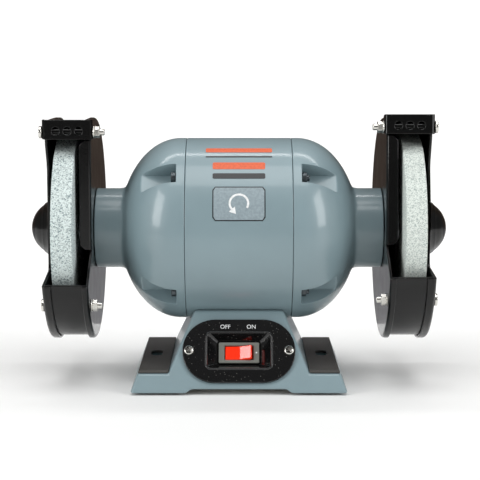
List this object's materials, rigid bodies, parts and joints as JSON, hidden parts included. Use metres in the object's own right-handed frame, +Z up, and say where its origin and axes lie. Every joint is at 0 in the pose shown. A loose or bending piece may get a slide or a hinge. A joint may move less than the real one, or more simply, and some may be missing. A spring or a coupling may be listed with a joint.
{
  "type": "bench grinder",
  "caption": "Bench grinder with a guarded wheel at each end of a domed motor, on a hollow pedestal base with a rocker switch.",
  "frame": {"origin": "on the bench, midway along the shaft and midway between the foremost and rearmost points", "axes": "+X along the shaft to the right-hand wheel, +Y to the back, +Z up; the switch and the wheel openings face -Y"},
  "size_m": [0.3312, 0.1702, 0.212],
  "materials": {
    "painted_casting": "semi-gloss enamel",
    "guard_enamel": "gloss black enamel",
    "pad_plastic": "matt",
    "panel_plastic": "gloss",
    "switch_grey": "satin",
    "switch_red": "gloss",
    "black_rubber": "matt",
    "bright_zinc": "bright zinc plate",
    "ground_steel": "ground",
    "lamination_steel": "stacked laminations",
    "cast_aluminium": "as cast",
    "enamelled_copper": "varnished",
    "coarse_stone": "coarse vitrified abrasive",
    "fine_stone": "fine vitrified abrasive",
    "aluminium_can": "drawn",
    "white_nylon": "matt"
  },
  "bodies": {
    "root": {"motor_shell": "painted_casting", "end_bell_left": "painted_casting", "end_bell_right": "painted_casting", "base": "painted_casting", "guard_plate_left": "guard_enamel", "guard_band_left": "guard_enamel", "guard_cover_left": "guard_enamel", "foot_pad_left": "pad_plastic", "base_bolt_left": "bright_zinc", "switch_plate_screw_left": "bright_zinc", "guard_bolt_left_upper": "bright_zinc", "guard_bolt_left_lower": "bright_zinc", "guard_bolt_left_rear": "bright_zinc", "bearing_outer_ring_left": "ground_steel", "stator_winding_left": "enamelled_copper", "rubber_foot_front_left": "black_rubber", "rubber_foot_rear_left": "black_rubber", "guard_plate_right": "guard_enamel", "guard_band_right": "guard_enamel", "guard_cover_right": "guard_enamel", "foot_pad_right": "pad_plastic", "base_bolt_right": "bright_zinc", "switch_plate_screw_right": "bright_zinc", "guard_bolt_right_upper": "bright_zinc", "guard_bolt_right_lower": "bright_zinc", "guard_bolt_right_rear": "bright_zinc", "bearing_outer_ring_right": "ground_steel", "stator_winding_right": "enamelled_copper", "rubber_foot_front_right": "black_rubber", "rubber_foot_rear_right": "black_rubber", "bottom_plate": "bright_zinc", "tie_bolt_upper_front": "bright_zinc", "tie_bolt_upper_rear": "bright_zinc", "tie_bolt_lower_front": "bright_zinc", "tie_bolt_lower_rear": "bright_zinc", "spring_washer": "ground_steel", "stator_core": "lamination_steel", "switch_plate": "panel_plastic", "switch_body": "switch_grey", "capacitor": "aluminium_can", "capacitor_clamp": "white_nylon", "terminal_block": "white_nylon", "cable_gland": "black_rubber"},
    "rotor": {"shaft": "ground_steel", "rotor_core": "cast_aluminium", "bearing_inner_ring_left": "ground_steel", "bearing_inner_ring_right": "ground_steel", "grinding_wheel_left": "coarse_stone", "grinding_wheel_right": "fine_stone", "inner_flange_left": "ground_steel", "inner_flange_right": "ground_steel", "outer_flange_left": "ground_steel", "outer_flange_right": "ground_steel", "spindle_nut_left": "bright_zinc", "spindle_nut_right": "bright_zinc"},
    "ball_cage_left": {"ball_cage_left": "ground_steel"},
    "ball_cage_right": {"ball_cage_right": "ground_steel"},
    "rocker": {"switch_rocker": "switch_red"},
    "deflector_left": {"spark_deflector_left": "guard_enamel"},
    "deflector_right": {"spark_deflector_right": "guard_enamel"}
  },
  "joints": [
    {"name": "rotor_spin", "type": "hinge", "parent": "root", "child": "rotor", "pos_m": [0, -0.00257, 0.12], "axis": [1, 0, 0], "continuous": true},
    {"name": "ball_cage_left_spin", "type": "hinge", "parent": "root", "child": "ball_cage_left", "pos_m": [-0.1, -0.00257, 0.12], "axis": [1, 0, 0], "continuous": true},
    {"name": "ball_cage_right_spin", "type": "hinge", "parent": "root", "child": "ball_cage_right", "pos_m": [0.1, -0.00257, 0.12], "axis": [1, 0, 0], "continuous": true},
    {"name": "rocker_tilt", "type": "hinge", "parent": "root", "child": "rocker", "pos_m": [0, -0.0572, 0.02875], "axis": [0, 0.5, 0.866], "range_deg": [0, 24]},
    {"name": "deflector_left_tilt", "type": "hinge", "parent": "root", "child": "deflector_left", "pos_m": [0, -0.04907, 0.1984], "axis": [1, 0, 0], "range_deg": [-10, 17]},
    {"name": "deflector_right_tilt", "type": "hinge", "parent": "root", "child": "deflector_right", "pos_m": [0, -0.04234, 0.20202], "axis": [1, 0, 0], "range_deg": [-10, 17]}
  ],
  "couplings": [
    {"joint": "ball_cage_left_spin", "follows": "rotor_spin", "ratio": 0.432},
    {"joint": "ball_cage_right_spin", "follows": "rotor_spin", "ratio": 0.432}
  ]
}
